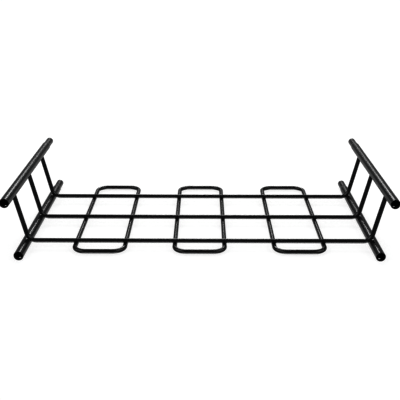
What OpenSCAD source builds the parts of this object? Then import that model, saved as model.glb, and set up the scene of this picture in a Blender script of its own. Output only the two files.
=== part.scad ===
// Roof basket extension section: two lower side tubes, two upper rails, three bent cross rods
// and three floor loops, welded together. X is across the vehicle, the open tube mouths are at
// the -Y end, and Z = 0 is the level under the lower side tubes.

/* [Overall] */
// Width over the two upper rails
basket_w = 1000; // [900:5:1200]
// Height from under the lower side tubes to the top of the upper rails
basket_h = 168; // [150:1:220]
// Distance that each upper rail stands outward of the lower side tube below it
rail_offset = 24.5; // [15:0.5:35]

/* [Side tubes] */
// Outer diameter of every side tube
tube_d = 25; // [22:0.5:28]
// Wall thickness of every side tube
tube_wall = 1.5; // [1.2:0.1:2.5]
// Length of a side tube from its open mouth to the start of its shoulder
tube_len = 523; // [480:1:700]
// Length of the soft shoulder between the tube and its neck
shoulder_len = 14; // [5:1:20]
// Length of the straight neck that slides into the next section
neck_len = 47; // [28:1:60]
// Gap all round between a neck and the mouth that takes it
neck_gap = 0.3; // [0.1:0.05:0.45]
// Lead-in at the edges of the mouths and the necks
edge_chamfer = 0.4; // [0.2:0.1:0.5]

/* [Clamp screws] */
// Diameter of the screw hole under each mouth
screw_hole_d = 6.5; // [5:0.5:8]
// Distance of the screw hole from the mouth's edge
screw_setback = 16.5; // [12:0.5:22]
// Diameter of the tapped hole under each neck
tapped_hole_d = 5; // [3:0.1:6]

/* [Cross rods] */
// Diameter of the cross rods
rod_d = 12; // [8:0.5:14]
// Distance from the mouths to the front cross rod
rod_front = 86; // [75:1:110]
// Distance between neighbouring cross rods
rod_pitch = 175; // [130:1:185]
// Bend radius of a cross rod's centre line
rod_bend_r = 26; // [20:1:40]
// Angle above level at which a cross rod's bend meets the lower side tube
rod_rest_angle = 48; // [40:1:60]
// Depth of the seat that a side tube leaves in a cross rod
rod_seat = 0.3; // [0.2:0.1:0.6]
// Distance that a riser's line passes inward of the upper rail's axis
riser_inset = 1.5; // [0:0.5:4]

/* [Floor loops] */
// Diameter of the floor loops' rod
loop_rod_d = 12; // [8:0.5:14]
// Width of a floor loop between its centre lines
loop_w = 132; // [90:1:160]
// Distance between the middles of neighbouring floor loops
loop_pitch = 264; // [200:1:290]
// Distance from the mouths to the front centre line of the floor loops
loop_front = 40; // [20:1:50]
// Length of a floor loop between its centre lines
loop_len = 511; // [490:1:540]
// Corner radius of a floor loop's centre line
loop_corner_r = 32; // [20:1:40]
// Depth of the seat that a cross rod leaves in a floor loop
loop_seat = 1; // [0.3:0.1:1.5]

/* [Welds] */
// Radius of the bead of a weld
bead_r = 2.2; // [1.5:0.1:3]
// Half of the angle that a weld bead follows round a lower side tube
bead_reach = 20; // [12:1:30]
// Half of the angle that a weld bead follows round the outer side of a riser
collar_reach = 110; // [80:5:150]

/* [Hidden] */
$fn = 64;

LEFT = -1;
RIGHT = 1;
FRONT = 0;
MIDDLE = 1;
REAR = 2;
COAT = "#1c1d1f";

// Margin by which a cutter runs past the face that it cuts
past = 1;

// Number of cones that make up a shoulder's curve
shoulder_steps = 8;

// Shares of its diameter by which round stock swells where it is bent, and by which its
// straight runs reach into a bend
swell_share = 1 / 600;
lap_share = 1 / 240;

tube_r = tube_d / 2;
rod_r = rod_d / 2;
bent_rod_r = rod_r + swell_share * rod_d;
rod_lap = lap_share * rod_d;
loop_r = loop_rod_d / 2;
bent_loop_r = loop_r + swell_share * loop_rod_d;
loop_lap = lap_share * loop_rod_d;
bore_r = tube_r - tube_wall;
neck_r = bore_r - neck_gap;
neck_bore_r = neck_r - tube_wall;
section_len = tube_len + shoulder_len + neck_len;
mouth_y = -section_len / 2;

// Axes of the side tubes
rail_x = basket_w / 2 - tube_r;
rail_z = basket_h - tube_r;
tube_x = rail_x - rail_offset;
tube_z = tube_r;

// Part of the shoulder that stays outside when a neck is pushed home into a mouth, and the
// tapped hole that then lies over the screw hole
shoulder_reach = shoulder_len * acos(1 - 2 * (tube_r - bore_r) / (tube_r - neck_r)) / 180;
tapped_hole_y = tube_len + shoulder_reach + screw_setback;

// Centre of a cross rod's bend, on the right-hand side
bend_to_tube = rod_bend_r + bent_rod_r + tube_r - rod_seat;
bend_x = tube_x - bend_to_tube * cos(rod_rest_angle);
bend_z = tube_z + bend_to_tube * sin(rod_rest_angle);
floor_z = bend_z - rod_bend_r;

// The riser leaves the bend on the line that passes riser_inset inward of the rail's axis
rail_dx = rail_x - bend_x;
rail_dz = rail_z - bend_z;
rail_away = sqrt(rail_dx * rail_dx + rail_dz * rail_dz);
riser_lean = acos((rod_bend_r + riser_inset) / rail_away) - atan2(rail_dz, rail_dx);
riser_len = rail_dx * sin(riser_lean) + rail_dz * cos(riser_lean);
riser_seat_len = riser_len - sqrt(tube_r * tube_r - riser_inset * riser_inset);

loop_z = floor_z - rod_r - loop_r + loop_seat;
loop_y = mouth_y + loop_front + loop_len / 2;

// A tube weld's bead lies in the valley beside the bend: the middle of its section is bead_lift
// above the side tube, bead_off outside the bend and so bead_flank beside the rod's axis
bead_lift = bead_r / 3;
bead_off = bead_r / 2;
bend_rise = bent_rod_r - rod_seat;
bead_flank = sqrt(pow(bent_rod_r + bead_off, 2) - pow(bend_rise - bead_lift, 2));

function rod_y(row) = mouth_y + rod_front + row * rod_pitch;

// Tubes, drawn along +Y from a mouth at the origin

// Points of the S-shaped shoulder from one radius down to another, as swaging leaves it
function shoulder(tube_radius, neck_radius) = [
    for (i = [0 : shoulder_steps])
        let (share = (1 - cos(180 * i / shoulder_steps)) / 2)
        [
            tube_radius + share * (neck_radius - tube_radius),
            tube_len + shoulder_len * i / shoulder_steps
        ]
];

function backwards(points) = [for (i = [len(points) - 1 : -1 : 0]) points[i]];

module tube_wall_profile() {
    polygon(concat(
        [[tube_r - edge_chamfer, 0], [tube_r, edge_chamfer]],
        shoulder(tube_r, neck_r),
        [[neck_r, section_len - edge_chamfer], [neck_r - edge_chamfer, section_len]],
        [[neck_bore_r, section_len]],
        backwards(shoulder(bore_r, neck_bore_r)),
        [[bore_r, edge_chamfer], [bore_r + edge_chamfer, 0]]
    ));
}

module underside_hole(y, d) {
    translate([0, y, -tube_r - past]) cylinder(d = d, h = tube_r + past);
}

module side_tube() {
    color(COAT) difference() {
        rotate([-90, 0, 0]) rotate_extrude() tube_wall_profile();
        underside_hole(screw_setback, screw_hole_d);
        underside_hole(tapped_hole_y, tapped_hole_d);
    }
}

module lower_tube(side) {
    translate([side * tube_x, mouth_y, tube_z]) side_tube();
}

module upper_rail(side) {
    translate([side * rail_x, mouth_y, rail_z]) side_tube();
}

// Outer surface of the side tubes, to cut seats and welds with

module tube_outside(side, x, z) {
    translate([side * x, mouth_y, z]) rotate([-90, 0, 0]) cylinder(r = tube_r, h = tube_len);
}

module both_tubes_outside(side) {
    tube_outside(side, tube_x, tube_z);
    tube_outside(side, rail_x, rail_z);
}

// Cross rods, drawn in the plane y = 0

module floor_run() {
    half_run = bend_x + rod_lap;
    translate([-half_run, 0, floor_z]) rotate([0, 90, 0]) cylinder(r = rod_r, h = 2 * half_run);
}

module in_bend_frame(side) {
    mirror([side == LEFT ? 1 : 0, 0, 0]) translate([bend_x, 0, bend_z]) children();
}

module bend() {
    rotate([90, 0, 0]) rotate([0, 0, -90])
        rotate_extrude(angle = 90 - riser_lean) translate([rod_bend_r, 0]) circle(r = bent_rod_r);
}

module riser() {
    rotate([0, riser_lean, 0]) translate([rod_bend_r, 0, -rod_lap])
        cylinder(r = rod_r, h = riser_len + rod_lap);
}

module whole_rod(row) {
    translate([0, rod_y(row), 0]) {
        floor_run();
        for (side = [LEFT, RIGHT]) in_bend_frame(side) {
            bend();
            riser();
        }
    }
}

module cross_rod(row) {
    color(COAT) difference() {
        whole_rod(row);
        for (side = [LEFT, RIGHT]) both_tubes_outside(side);
    }
}

// Floor loops, closed rounded rectangles that hang under the cross rods

module loop_corner() {
    rotate_extrude(angle = 90) translate([loop_corner_r, 0]) circle(r = bent_loop_r);
}

module loop_straight(straight_len) {
    run = straight_len + 2 * loop_lap;
    translate([0, -run / 2, 0]) rotate([-90, 0, 0]) cylinder(r = loop_r, h = run);
}

module loop_ring() {
    leg_len = loop_len - 2 * loop_corner_r;
    end_len = loop_w - 2 * loop_corner_r;
    for (turn = [0, 180]) rotate([0, 0, turn]) {
        translate([loop_w / 2, 0, 0]) loop_straight(leg_len);
        translate([end_len / 2, leg_len / 2, 0]) loop_corner();
        translate([0, loop_len / 2, 0]) rotate([0, 0, 90]) loop_straight(end_len);
        translate([-end_len / 2, leg_len / 2, 0]) rotate([0, 0, 90]) loop_corner();
    }
}

module floor_loop(column) {
    color(COAT) difference() {
        translate([column * loop_pitch, loop_y, loop_z]) loop_ring();
        for (row = [FRONT : REAR]) translate([0, rod_y(row), 0]) floor_run();
    }
}

// Fillet welds on both sides of a cross rod's bend, along the lower side tube

module bead_arc() {
    rotate([90, 0, 0]) rotate([0, 0, 180 - rod_rest_angle - bead_reach])
        rotate_extrude(angle = 2 * bead_reach)
        translate([tube_r + bead_lift, 0]) circle(r = bead_r);
}

module tube_weld(side, row) {
    color(COAT) difference() {
        mirror([side == LEFT ? 1 : 0, 0, 0]) translate([tube_x, rod_y(row), tube_z])
            for (flank = [-1, 1]) translate([0, flank * bead_flank, 0]) bead_arc();
        tube_outside(side, tube_x, tube_z);
        translate([0, rod_y(row), 0]) in_bend_frame(side) bend();
    }
}

// Weld round the outer side of a riser's top, against the upper rail

module riser_collar() {
    rotate([0, riser_lean, 0]) translate([rod_bend_r, 0, riser_seat_len])
        rotate([0, 0, -collar_reach]) rotate_extrude(angle = 2 * collar_reach)
        translate([rod_r, 0]) circle(r = bead_r);
}

module rail_weld(side, row) {
    color(COAT) difference() {
        translate([0, rod_y(row), 0]) in_bend_frame(side) riser_collar();
        tube_outside(side, rail_x, rail_z);
        translate([0, rod_y(row), 0]) in_bend_frame(side) riser();
    }
}

lower_tube(LEFT);  // lower_tube_left
lower_tube(RIGHT);  // lower_tube_right
upper_rail(LEFT);  // upper_rail_left
upper_rail(RIGHT);  // upper_rail_right
cross_rod(FRONT);  // cross_rod_front
cross_rod(MIDDLE);  // cross_rod_middle
cross_rod(REAR);  // cross_rod_rear
floor_loop(LEFT);  // floor_loop_left
floor_loop(0);  // floor_loop_center
floor_loop(RIGHT);  // floor_loop_right
tube_weld(LEFT, FRONT);  // tube_weld_front_left
tube_weld(LEFT, MIDDLE);  // tube_weld_middle_left
tube_weld(LEFT, REAR);  // tube_weld_rear_left
tube_weld(RIGHT, FRONT);  // tube_weld_front_right
tube_weld(RIGHT, MIDDLE);  // tube_weld_middle_right
tube_weld(RIGHT, REAR);  // tube_weld_rear_right
rail_weld(LEFT, FRONT);  // rail_weld_front_left
rail_weld(LEFT, MIDDLE);  // rail_weld_middle_left
rail_weld(LEFT, REAR);  // rail_weld_rear_left
rail_weld(RIGHT, FRONT);  // rail_weld_front_right
rail_weld(RIGHT, MIDDLE);  // rail_weld_middle_right
rail_weld(RIGHT, REAR);  // rail_weld_rear_right
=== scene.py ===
import math

import bmesh
import bpy
from mathutils import Matrix, Vector


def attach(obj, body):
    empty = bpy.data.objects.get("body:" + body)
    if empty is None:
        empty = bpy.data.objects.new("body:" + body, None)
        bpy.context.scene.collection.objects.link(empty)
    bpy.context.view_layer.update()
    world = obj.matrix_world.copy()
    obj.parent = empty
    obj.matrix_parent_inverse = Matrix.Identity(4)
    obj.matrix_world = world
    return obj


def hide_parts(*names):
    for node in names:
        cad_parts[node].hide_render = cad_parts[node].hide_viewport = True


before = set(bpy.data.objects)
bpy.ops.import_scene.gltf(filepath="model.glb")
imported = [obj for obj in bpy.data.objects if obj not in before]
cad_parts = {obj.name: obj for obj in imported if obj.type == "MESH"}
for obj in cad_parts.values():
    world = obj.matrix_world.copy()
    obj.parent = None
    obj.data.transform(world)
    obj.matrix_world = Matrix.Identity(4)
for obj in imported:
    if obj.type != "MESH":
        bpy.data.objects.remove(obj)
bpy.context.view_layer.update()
scene = bpy.context.scene

# Roof basket section, in metres: a black welded frame of two lower side tubes, two upper rails,
# three bent cross rods and three floor loops

MM = 0.001
SIDES = {"left": -1, "right": 1}
ROWS = {"front": 0, "middle": 1, "rear": 2}

# Side tubes: two lower tubes and two upper rails, drawn down to a neck behind a soft shoulder.
# Y runs from the open mouths in front to the necks at the rear.
TUBE_R = 12.5 * MM
BORE_R = 11.0 * MM
NECK_BORE_R = 9.2 * MM
TUBE_X = 463.0 * MM
TUBE_Z = TUBE_R
RAIL_X = 487.5 * MM
RAIL_Z = 155.5 * MM
MOUTH_Y = -292.0 * MM
SHOULDER_START_Y = 231.0 * MM
SHOULDER_END_Y = 245.0 * MM

# Cross rods: each rests on the lower tubes with its two bends and rises from them to the rails
ROD_R = 6.0 * MM
ROD_PITCH = 175.0 * MM
# From the mouths to the front cross rod
ROD_FRONT = 86.0 * MM
# Radius and centre of a bend's centre line, on the right-hand side
BEND_R = 26.0 * MM
BEND_X = 433.41 * MM
BEND_Z = 45.36 * MM
# Angle above level at which a bend meets the lower tube
REST_ANGLE = math.radians(48)
# A riser's outward lean, its length up to the rail's axis, and how far inward of that axis it aims
RISER_LEAN = math.radians(13.2)
RISER_LEN = 119.6 * MM
RISER_INSET = 1.5 * MM


# Camera: in front of the open mouths and above the basket, looking down by 20 degrees. Its angles
# are in radians, and its lens and sensor in millimetres.

CAMERA_PLACE = (9.5 * MM, -2017.3 * MM, 794.1 * MM)
CAMERA_PITCH = 0.34908
CAMERA_YAW = 0.00483
CAMERA_ROLL = 0.00113
CAMERA_LENS = 66.56
CAMERA_SENSOR = 36.0
CAMERA_NEAREST = 0.05
CAMERA_FURTHEST = 200.0

camera_data = bpy.data.cameras.new("camera")
camera_data.lens = CAMERA_LENS
camera_data.sensor_width = CAMERA_SENSOR
camera_data.clip_start = CAMERA_NEAREST
camera_data.clip_end = CAMERA_FURTHEST
camera = bpy.data.objects.new("camera", camera_data)
scene.collection.objects.link(camera)
camera.matrix_world = (
    Matrix.Translation(CAMERA_PLACE)
    @ Matrix.Rotation(CAMERA_YAW, 4, "Z")
    @ Matrix.Rotation(math.pi / 2 - CAMERA_PITCH, 4, "X")
    @ Matrix.Rotation(CAMERA_ROLL, 4, "Z")
)
scene.camera = camera


def linear(hex_colour):
    """An sRGB hex colour as linear RGBA, by the sRGB curve."""
    parts = [int(hex_colour[i:i + 2], 16) / 255 for i in (1, 3, 5)]
    return (*[p / 12.92 if p <= 0.04045 else ((p + 0.055) / 1.055) ** 2.4 for p in parts], 1.0)


WHITE = linear("#ffffff")


def add(tree, kind, settings=None, links=None):
    """Adds a node with its settings and the outputs that feed its inputs."""
    node = tree.nodes.new(kind)
    for name, value in (settings or {}).items():
        if isinstance(name, int) or name in node.inputs:
            node.inputs[name].default_value = value
        else:
            setattr(node, name, value)
    for name, source in (links or {}).items():
        tree.links.new(source, node.inputs[name])
    return node


def new_material(name):
    """An empty node material and its tree."""
    material = bpy.data.materials.new(name)
    material.use_nodes = True
    material.node_tree.nodes.clear()
    return material, material.node_tree


# Satin black powder coat: polyester powder, sprayed on dry and melted in an oven. It gives the
# eye an even near-black skin with soft, narrow highlights. The melt sets in a faint orange peel,
# waves of 2 to 2.4 mm that make the edges of the highlights waver. The coat's thickness drifts
# over a few centimetres, which shifts its tint and its sheen a little.

COAT_DARK = "#1f2021"
COAT_LIGHT = "#252627"
COAT_IOR = 1.5
DRIFT_SIZE = 35.0 * MM
DRIFT_DETAIL = 3.0
PEEL_DETAIL = 1.5
# Levels of the drift between which the tint and the sheen go from one end to the other
TINT_START = 0.35
TINT_END = 0.65
SHEEN_START = 0.3
SHEEN_END = 0.7

# Inside a bore the colour is darkened with painted shade, and a thin dry dusting of powder makes it
# dull. Both start this far outside the bore's wall, on the lead-in at the edge of a mouth.
BORE_PAINTED_SHADE = "#141414"
DUSTING_ROUGHNESS = 0.7
SHADE_AND_DUSTING_START = 0.3 * MM


def inside_bore(tree, place):
    """1 in the bore of a side tube and 0 outside it, by the distance from the nearer tube's axis."""
    right_half = add(tree, "ShaderNodeVectorMath", {"operation": "ABSOLUTE"}, {0: place})
    section = add(
        tree, "ShaderNodeVectorMath",
        {"operation": "MULTIPLY", 1: (1, 0, 1)},
        {0: right_half.outputs["Vector"]},
    )
    to_tube, to_rail = (
        add(
            tree, "ShaderNodeVectorMath",
            {"operation": "DISTANCE", 1: axis},
            {0: section.outputs["Vector"]},
        )
        for axis in ((TUBE_X, 0, TUBE_Z), (RAIL_X, 0, RAIL_Z))
    )
    nearer = add(
        tree, "ShaderNodeMath",
        {"operation": "MINIMUM"},
        {0: to_tube.outputs["Value"], 1: to_rail.outputs["Value"]},
    )
    split = add(tree, "ShaderNodeSeparateXYZ", links={"Vector": place})
    limit = add(
        tree, "ShaderNodeMapRange",
        {
            "interpolation_type": "SMOOTHSTEP",
            "From Min": SHOULDER_START_Y, "From Max": SHOULDER_END_Y,
            "To Min": BORE_R + SHADE_AND_DUSTING_START, "To Max": NECK_BORE_R + SHADE_AND_DUSTING_START,
        },
        {"Value": split.outputs["Y"]},
    )
    inside = add(
        tree, "ShaderNodeMath",
        {"operation": "LESS_THAN"},
        {0: nearer.outputs["Value"], 1: limit.outputs["Result"]},
    )
    return inside.outputs["Value"]


def satin_black(name, smooth, rough, peel_size, peel_depth, shine=0.5, hollow=False):
    """The powder coat, with its roughness from smooth to rough; where it is hollow, painted shade
    darkens the colour in the bores and a dusting of powder makes them dull. A Mix node's inputs share
    their names, so they go by number: 0 is the factor, 2 and 3 are the values, 6 and 7 the colours."""
    material, tree = new_material(name)
    place = add(tree, "ShaderNodeTexCoord").outputs["Object"]
    drift = add(
        tree, "ShaderNodeTexNoise", {"Scale": 1 / DRIFT_SIZE, "Detail": DRIFT_DETAIL}, {"Vector": place}
    )
    peel = add(
        tree, "ShaderNodeTexNoise", {"Scale": 1 / peel_size, "Detail": PEEL_DETAIL}, {"Vector": place}
    )
    tint = add(tree, "ShaderNodeValToRGB", links={"Fac": drift.outputs["Fac"]})
    dark_stop, light_stop = tint.color_ramp.elements
    dark_stop.position = TINT_START
    dark_stop.color = linear(COAT_DARK)
    light_stop.position = TINT_END
    light_stop.color = linear(COAT_LIGHT)
    sheen = add(
        tree, "ShaderNodeMapRange",
        {"From Min": SHEEN_START, "From Max": SHEEN_END, "To Min": smooth, "To Max": rough},
        {"Value": drift.outputs["Fac"]},
    )
    bump = add(
        tree, "ShaderNodeBump",
        {"Strength": 1.0, "Distance": peel_depth},
        {"Height": peel.outputs["Fac"]},
    )
    colour = tint.outputs["Color"]
    roughness = sheen.outputs["Result"]
    if hollow:
        inside = inside_bore(tree, place)
        # Painted shade: the colour in the bore is darkened, while its dull roughness comes from a
        # dusting of powder
        painted_shade_mix = add(
            tree, "ShaderNodeMix", {"data_type": "RGBA", 7: linear(BORE_PAINTED_SHADE)}, {0: inside, 6: colour}
        )
        dull = add(tree, "ShaderNodeMix", {3: DUSTING_ROUGHNESS}, {0: inside, 2: roughness})
        colour = painted_shade_mix.outputs[2]
        roughness = dull.outputs[0]
    skin = add(
        tree, "ShaderNodeBsdfPrincipled",
        {"IOR": COAT_IOR, "Metallic": 0.0, "Specular IOR Level": shine},
        {"Base Color": colour, "Roughness": roughness, "Normal": bump.outputs["Normal"]},
    )
    add(tree, "ShaderNodeOutputMaterial", links={"Surface": skin.outputs["BSDF"]})
    return material


# On the tubes and the rails the coat draws long soft highlights, and their mouths look dark, with
# painted shade in their bores
tube_coat = satin_black(
    "satin_black_powder_coat_on_tube",
    smooth=0.22, rough=0.28, peel_size=2.4 * MM, peel_depth=0.0025 * MM, hollow=True,
)
# On the rods and the loops the same coat draws one thin highlight along each run and bend
rod_coat = satin_black(
    "satin_black_powder_coat_on_rod",
    smooth=0.22, rough=0.28, peel_size=2.0 * MM, peel_depth=0.0025 * MM,
)
# On the welds it sets unevenly over the ripples, so the beads look duller and rougher
weld_coat = satin_black(
    "satin_black_powder_coat_on_weld",
    smooth=0.50, rough=0.60, peel_size=2.2 * MM, peel_depth=0.012 * MM, shine=0.25,
)

for name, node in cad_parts.items():
    if "weld" in name:
        coat = weld_coat
    elif "tube" in name or "rail" in name:
        coat = tube_coat
    else:
        coat = rod_coat
    node.data.materials.clear()
    node.data.materials.append(coat)


# Weld beads: laid in overlapping pools, so that each bead is ribbed across with crescent ripples

BEAD_R = 2.2 * MM
BEAD_SIDES = 16
# The middle of a bead's section lies this far outside the tube, and this far beside the rod's axis
BEAD_LIFT = BEAD_R / 3
BEAD_FLANK = 5.08 * MM
# Half of the angle that a bead follows round the lower tube, and round a riser's outer side, and
# the steps that it is spun in
BEAD_REACH = math.radians(20)
BEAD_STEPS = 48
COLLAR_REACH = math.radians(110)
COLLAR_STEPS = 60
# The ripples' height is a share of the bead's radius, and their bow a share of their pitch
RIPPLE_PITCH = 1.4 * MM
RIPPLE_HEIGHT = 0.08
RIPPLE_CURVE = 0.55
# Level of a ripple's wave, from 0 to 1, at which the bead has its plain size
RIPPLE_MIDDLE = 0.6
# Power that keeps a bead at its full size until close to its ends, and the share that is left there
END_TAPER = 6
END_SIZE = 0.15


def rod_y(row):
    """Where a cross rod lies along the basket."""
    return MOUTH_Y + ROD_FRONT + row * ROD_PITCH


def ripple(along, across):
    """Size of a bead's section, at a length along it and a height across it of -1 to 1."""
    phase = along / RIPPLE_PITCH + RIPPLE_CURVE * across * across
    return 1 + RIPPLE_HEIGHT * (abs(math.sin(math.pi * phase)) - RIPPLE_MIDDLE)


def bead_size(turn, reach, line_r, across):
    """Size of a bead's section where it has turned that far from its middle: it tapers at its ends."""
    end = math.sqrt(max(0.0, 1 - abs(turn / reach) ** END_TAPER))
    return max(END_SIZE, end) * ripple(turn * line_r, across)


def spin_bead(bm, section, axis, reach, steps):
    """Spins a bead's round section about the origin, as far to one side of its place as the other."""
    earlier = set(bm.verts)
    ring = bmesh.ops.create_circle(bm, segments=BEAD_SIDES, radius=BEAD_R, matrix=section)["verts"]
    bmesh.ops.transform(bm, matrix=Matrix.Rotation(-reach, 4, axis), verts=ring)
    edges = [edge for edge in bm.edges if edge.verts[0] not in earlier]
    bmesh.ops.spin(
        bm, geom=ring + edges, cent=(0, 0, 0), axis=axis, angle=2 * reach, steps=steps,
        use_merge=False, use_duplicate=False,
    )
    return [vert for vert in bm.verts if vert not in earlier]


def flank_bead(bm, y):
    """A bead along the lower tube, beside a cross rod, on the right-hand side of the basket."""
    line_r = TUBE_R + BEAD_LIFT
    section = Matrix.Translation((line_r, 0, 0))
    made = spin_bead(bm, section, Vector((0, -1, 0)), BEAD_REACH, BEAD_STEPS)
    for vert in made:
        turn = math.atan2(vert.co.z, vert.co.x)
        middle = Vector((math.cos(turn), 0, math.sin(turn))) * line_r
        size = bead_size(turn, BEAD_REACH, line_r, vert.co.y / BEAD_R)
        vert.co = middle + (vert.co - middle) * size
    place = Matrix.Translation((TUBE_X, y, TUBE_Z)) @ Matrix.Rotation(REST_ANGLE - math.pi, 4, "Y")
    bmesh.ops.transform(bm, matrix=place, verts=made)


def tube_weld(row):
    """The two beads that hold a cross rod's bend to the lower tube, one on each side of the rod."""
    bm = bmesh.new()
    for flank in (-1, 1):
        flank_bead(bm, rod_y(row) + flank * BEAD_FLANK)
    return bm


def rail_weld(row):
    """A bead round the outer side of a riser's top, which rises where the rail curves away from it."""
    bm = bmesh.new()
    section = Matrix.Translation((ROD_R, 0, 0)) @ Matrix.Rotation(math.pi / 2, 4, "X")
    made = spin_bead(bm, section, Vector((0, 0, 1)), COLLAR_REACH, COLLAR_STEPS)
    for vert in made:
        turn = math.atan2(vert.co.y, vert.co.x)
        middle = Vector((math.cos(turn), math.sin(turn), 0)) * ROD_R
        off_axis = ROD_R * math.cos(turn) - RISER_INSET
        seat = RISER_LEN - math.sqrt(TUBE_R ** 2 - off_axis ** 2)
        size = bead_size(turn, COLLAR_REACH, ROD_R, vert.co.z / BEAD_R)
        vert.co = middle + (vert.co - middle) * size + Vector((BEND_R, 0, seat))
    place = Matrix.Translation((BEND_X, rod_y(row), BEND_Z)) @ Matrix.Rotation(RISER_LEAN, 4, "Y")
    bmesh.ops.transform(bm, matrix=place, verts=made)
    return bm


def close_ends(bm):
    """Closes the round ends of the beads."""
    bmesh.ops.holes_fill(bm, edges=[edge for edge in bm.edges if edge.is_boundary], sides=0)


def add_piece(name, bm, finish):
    """Makes the piece from its bmesh, smooth-shaded and riding on the welded frame."""
    bmesh.ops.recalc_face_normals(bm, faces=bm.faces)
    mesh = bpy.data.meshes.new(name)
    bm.to_mesh(mesh)
    bm.free()
    mesh.shade_smooth()
    mesh.materials.append(finish)
    piece = bpy.data.objects.new(name, mesh)
    scene.collection.objects.link(piece)
    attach(piece, "root")
    return piece


for side_name, side in SIDES.items():
    for row_name, row in ROWS.items():
        for kind, make in (("tube_weld", tube_weld), ("rail_weld", rail_weld)):
            node_name = f"{kind}_{row_name}_{side_name}"
            bm = make(row)
            close_ends(bm)
            bmesh.ops.scale(bm, vec=(side, 1, 1), verts=bm.verts)
            bead = add_piece(f"{kind}_bead_{row_name}_{side_name}", bm, weld_coat)
            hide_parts(node_name)


# Pale floor of opal acrylic, lit a little from within as a light table is: it gives the eye an
# even white with no gloss, on which shadows stay faint

FLOOR_REACH = 40.0
FLOOR_COLOUR = "#7a7a7a"
FLOOR_ROUGHNESS = 0.9
FLOOR_GLOW = 0.83

floor_bm = bmesh.new()
bmesh.ops.create_grid(floor_bm, x_segments=1, y_segments=1, size=FLOOR_REACH)
floor_mesh = bpy.data.meshes.new("floor")
floor_bm.to_mesh(floor_mesh)
floor_bm.free()
floor = bpy.data.objects.new("floor", floor_mesh)
scene.collection.objects.link(floor)
table_top, table_tree = new_material("opal_acrylic_light_table")
table_skin = add(
    table_tree, "ShaderNodeBsdfPrincipled",
    {
        "Base Color": linear(FLOOR_COLOUR), "Roughness": FLOOR_ROUGHNESS,
        "Emission Color": WHITE, "Emission Strength": FLOOR_GLOW,
    },
)
add(table_tree, "ShaderNodeOutputMaterial", links={"Surface": table_skin.outputs["BSDF"]})
floor.data.materials.append(table_top)
floor.visible_glossy = False


# Soft studio light: the camera sees a white wall, and the black coat reflects a dark room with a
# glow from the table in front of it, a faint haze at the back, and a pale panel on either side

world = bpy.data.worlds.new("studio")
scene.world = world
world.use_nodes = True
tree = world.node_tree
tree.nodes.clear()
direction = add(tree, "ShaderNodeTexCoord").outputs["Generated"]
split = add(tree, "ShaderNodeSeparateXYZ", links={"Vector": direction})
outward = add(tree, "ShaderNodeMath", {"operation": "ABSOLUTE"}, {0: split.outputs["X"]})
part = {"X": outward.outputs["Value"], "Y": split.outputs["Y"], "Z": split.outputs["Z"]}

# Soft steps of brightness over one component of the direction: X outward to either side, Y to
# the rear or Z up, where the step starts and ends, and how bright it is there
STEPS = {
    "table_top": ("Z", -0.26, -0.60, 0.0, 1.0),
    "table_front": ("Y", 0.45, -0.35, 0.15, 8.0),
    "table_end": ("Y", -0.45, -0.60, 1.0, 0.15),
    "table_side": ("X", 0.28, 0.50, 1.0, 0.04),
    "haze_back": ("Y", 0.2, 0.7, 0.04, 0.65),
    "haze_ahead": ("X", 0.33, 0.22, 0.3, 0.8),
    "haze_low": ("Z", 0.08, -0.04, 0.3, 1.0),
    "panel_side": ("X", 0.35, 0.6, 0.0, 2.2),
    "panel_foot": ("Z", 0.04, 0.25, 0.0, 1.0),
    "panel_top": ("Z", 0.95, 0.75, 0.0, 1.0),
    "panel_front": ("Y", 0.35, 0.05, 0.0, 1.0),
}
for name, (component, start, end, at_start, at_end) in STEPS.items():
    part[name] = add(
        tree, "ShaderNodeMapRange",
        {
            "interpolation_type": "SMOOTHSTEP",
            "From Min": start, "From Max": end, "To Min": at_start, "To Max": at_end,
        },
        {"Value": part[component]},
    ).outputs["Result"]

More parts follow.
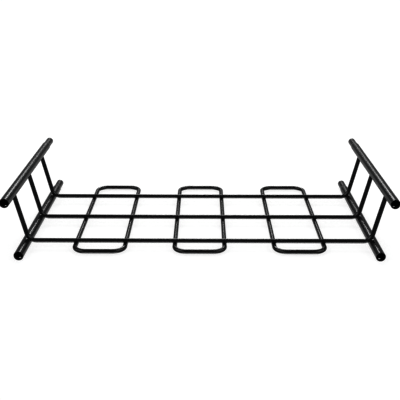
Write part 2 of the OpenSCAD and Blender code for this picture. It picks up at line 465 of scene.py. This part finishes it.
# How the steps make up the table's glow, the haze and the panels, and these the whole room
SUMS = {
    "table_depth": ("MULTIPLY", "table_front", "table_end"),
    "table_spread": ("MULTIPLY", "table_top", "table_side"),
    "table": ("MULTIPLY", "table_depth", "table_spread"),
    "haze_shape": ("MAXIMUM", "haze_ahead", "haze_low"),
    "haze": ("MULTIPLY", "haze_back", "haze_shape"),
    "panel_height": ("MULTIPLY", "panel_foot", "panel_top"),
    "panel_width": ("MULTIPLY", "panel_side", "panel_front"),
    "panel": ("MULTIPLY", "panel_height", "panel_width"),
    "table_and_haze": ("ADD", "table", "haze"),
    "room": ("ADD", "table_and_haze", "panel"),
}
for name, (operation, first, second) in SUMS.items():
    part[name] = add(
        tree, "ShaderNodeMath", {"operation": operation}, {0: part[first], 1: part[second]}
    ).outputs["Value"]

reflected = add(tree, "ShaderNodeBackground", {"Color": WHITE}, {"Strength": part["room"]})
white_wall = add(tree, "ShaderNodeBackground", {"Color": WHITE, "Strength": 1.0})
path = add(tree, "ShaderNodeLightPath")
seen = add(tree, "ShaderNodeMixShader", links={
    0: path.outputs["Is Camera Ray"],
    1: reflected.outputs["Background"],
    2: white_wall.outputs["Background"],
})
add(tree, "ShaderNodeOutputWorld", links={"Surface": seen.outputs["Shader"]})


def light(name, kind, place, aim, energy, glossy, **settings):
    """A lamp that the camera doesn't see, aimed at a point. The coat reflects a glossy one."""
    data = bpy.data.lights.new(name, kind)
    data.energy = energy
    for key, value in settings.items():
        setattr(data, key, value)
    lamp = bpy.data.objects.new(name, data)
    scene.collection.objects.link(lamp)
    lamp.location = place
    lamp.rotation_euler = (Vector(aim) - Vector(place)).to_track_quat("-Z", "Y").to_euler()
    lamp.visible_glossy = glossy
    lamp.visible_camera = False


# A wide even light from above, and a softbox high behind the basket, in metres
light(
    "ceiling", "SUN", place=(0, 0, 4), aim=(0, 0, 0),
    energy=0.55, glossy=False, angle=math.radians(120),
)
light(
    "softbox", "AREA", place=(0.05, 6.0, 4.6), aim=(0, 0, 0.1),
    energy=200.0, glossy=True, shape="RECTANGLE", size=1.9, size_y=2.7,
)

# A steep tone curve, so that rods only a few pixels wide keep dark edges against the white
TONE_GAMMA = 0.6
scene.view_settings.view_transform = "Standard"
scene.view_settings.gamma = TONE_GAMMA
